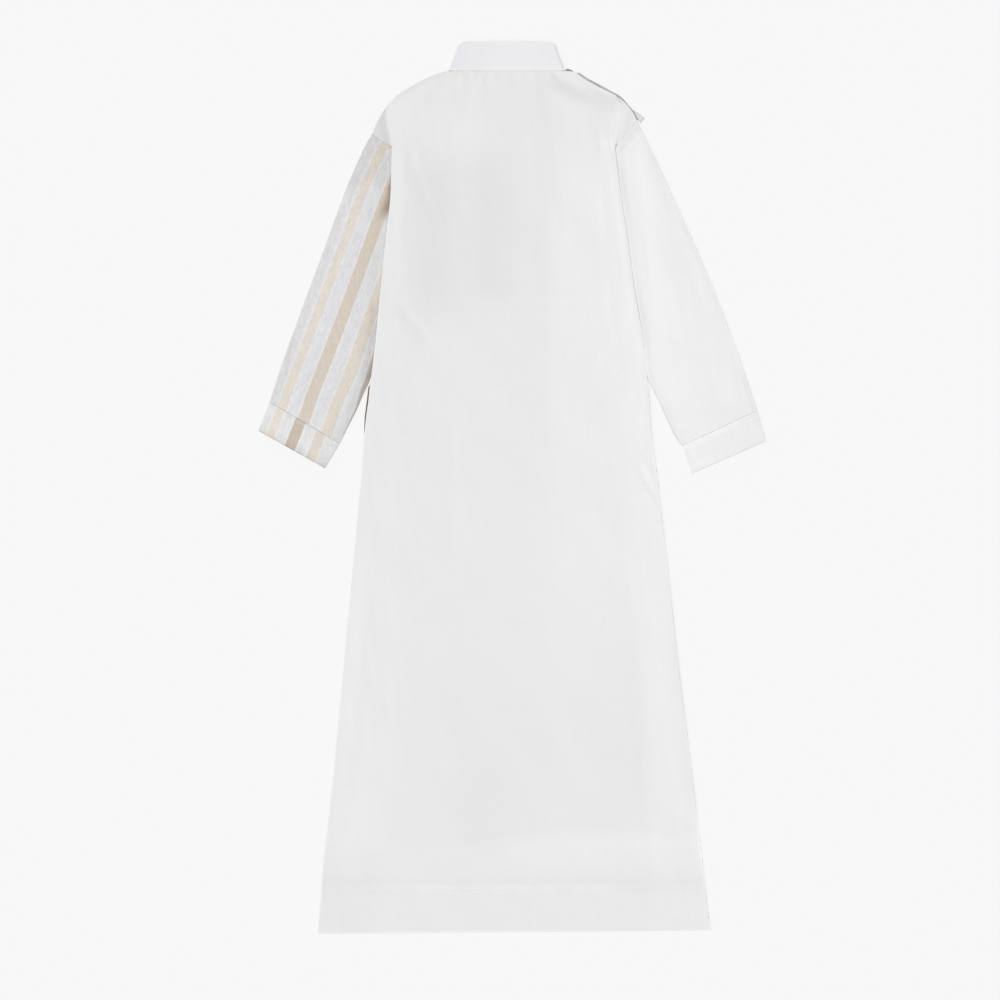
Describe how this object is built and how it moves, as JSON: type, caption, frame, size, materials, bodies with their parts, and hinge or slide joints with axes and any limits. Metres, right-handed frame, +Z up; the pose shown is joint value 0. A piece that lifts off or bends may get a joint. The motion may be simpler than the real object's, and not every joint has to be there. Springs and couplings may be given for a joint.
{
  "type": "thobe robe",
  "caption": "Long-sleeved ankle-length thobe with a stand collar, laid flat with its back uppermost; one sleeve and its front are striped.",
  "frame": {"origin": "on the surface the thobe lies on, under the middle of its bounding box", "axes": "+Z up from the surface, +Y from the hem toward the collar, +X toward the wearer's right sleeve"},
  "size_m": [0.6108, 1.0739, 0.007],
  "materials": {
    "back_panel": "matte, smooth light plain weave",
    "front_panel": "matte, heathered white with cream and tan stripes",
    "front_placket": "matte, smooth light plain weave",
    "collar": "matte, doubled and stiffened plain weave",
    "sleeve_left": "matte, heathered white with cream and tan stripes",
    "sleeve_right": "matte, smooth light plain weave",
    "cuff_left": "matte, heathered white with cream and tan stripes, doubled",
    "cuff_right": "matte, doubled plain weave"
  },
  "bodies": {
    "root": {"back_panel": "back_panel", "front_panel": "front_panel", "front_placket": "front_placket", "collar": "collar", "sleeve_left": "sleeve_left", "sleeve_right": "sleeve_right", "cuff_left": "cuff_left", "cuff_right": "cuff_right"}
  },
  "joints": []
}
